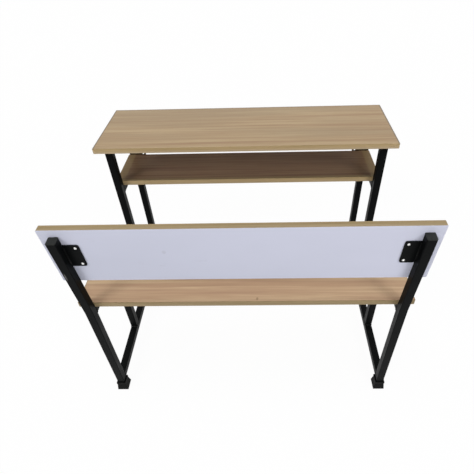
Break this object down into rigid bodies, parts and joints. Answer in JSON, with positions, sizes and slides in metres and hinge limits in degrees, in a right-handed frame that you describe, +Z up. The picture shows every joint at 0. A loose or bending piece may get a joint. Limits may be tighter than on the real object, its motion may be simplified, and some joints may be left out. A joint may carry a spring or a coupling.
{
  "type": "school desk with bench",
  "caption": "School desk joined to a bench with a reclined backrest, on two side frames of welded square tube with a book shelf under the desktop.",
  "frame": {"origin": "on the floor, at the middle of the bounding box", "axes": "+X to the sitter's right, along the boards; +Y the way the sitter faces, from the bench to the desk; +Z up"},
  "size_m": [1, 0.7424, 0.7686],
  "materials": {
    "wood_laminate": "satin wood-pattern laminate, fine grain along the length",
    "wood_edge_band": "satin wood-pattern edge band",
    "white_laminate": "smooth pale grey-white balancing laminate",
    "black_steel": "satin black powder coat",
    "black_plastic": "moulded matt black",
    "zinc_screws": "bright zinc plate"
  },
  "bodies": {
    "root": {"desktop_board": "wood_laminate", "shelf_board": "wood_laminate", "seat_board": "wood_laminate", "backrest_board": "wood_laminate", "desktop_edge_band": "wood_edge_band", "shelf_edge_band": "wood_edge_band", "seat_edge_band": "wood_edge_band", "backrest_edge_band": "wood_edge_band", "backrest_back_sheet": "white_laminate", "left_rear_post": "black_steel", "left_floor_rail": "black_steel", "left_bench_front_leg": "black_steel", "left_desk_near_leg": "black_steel", "left_desk_far_leg": "black_steel", "left_top_rail": "black_steel", "left_shelf_rail": "black_steel", "left_seat_rail": "black_steel", "left_backrest_plate": "black_steel", "left_panel_plate": "black_steel", "left_desktop_plate_near": "black_steel", "left_desktop_plate_far": "black_steel", "right_rear_post": "black_steel", "right_floor_rail": "black_steel", "right_bench_front_leg": "black_steel", "right_desk_near_leg": "black_steel", "right_desk_far_leg": "black_steel", "right_top_rail": "black_steel", "right_shelf_rail": "black_steel", "right_seat_rail": "black_steel", "right_backrest_plate": "black_steel", "right_panel_plate": "black_steel", "right_desktop_plate_near": "black_steel", "right_desktop_plate_far": "black_steel", "left_post_cap": "black_plastic", "right_post_cap": "black_plastic", "left_rear_foot": "black_plastic", "left_far_foot": "black_plastic", "right_rear_foot": "black_plastic", "right_far_foot": "black_plastic", "left_backrest_screw_upper": "zinc_screws", "left_backrest_screw_lower": "zinc_screws", "left_desktop_screw_near_1": "zinc_screws", "left_desktop_screw_near_2": "zinc_screws", "left_desktop_screw_far_1": "zinc_screws", "left_desktop_screw_far_2": "zinc_screws", "left_seat_screw_1": "zinc_screws", "left_seat_screw_2": "zinc_screws", "left_shelf_screw_1": "zinc_screws", "left_shelf_screw_2": "zinc_screws", "right_backrest_screw_upper": "zinc_screws", "right_backrest_screw_lower": "zinc_screws", "right_desktop_screw_near_1": "zinc_screws", "right_desktop_screw_near_2": "zinc_screws", "right_desktop_screw_far_1": "zinc_screws", "right_desktop_screw_far_2": "zinc_screws", "right_seat_screw_1": "zinc_screws", "right_seat_screw_2": "zinc_screws", "right_shelf_screw_1": "zinc_screws", "right_shelf_screw_2": "zinc_screws"}
  },
  "joints": []
}
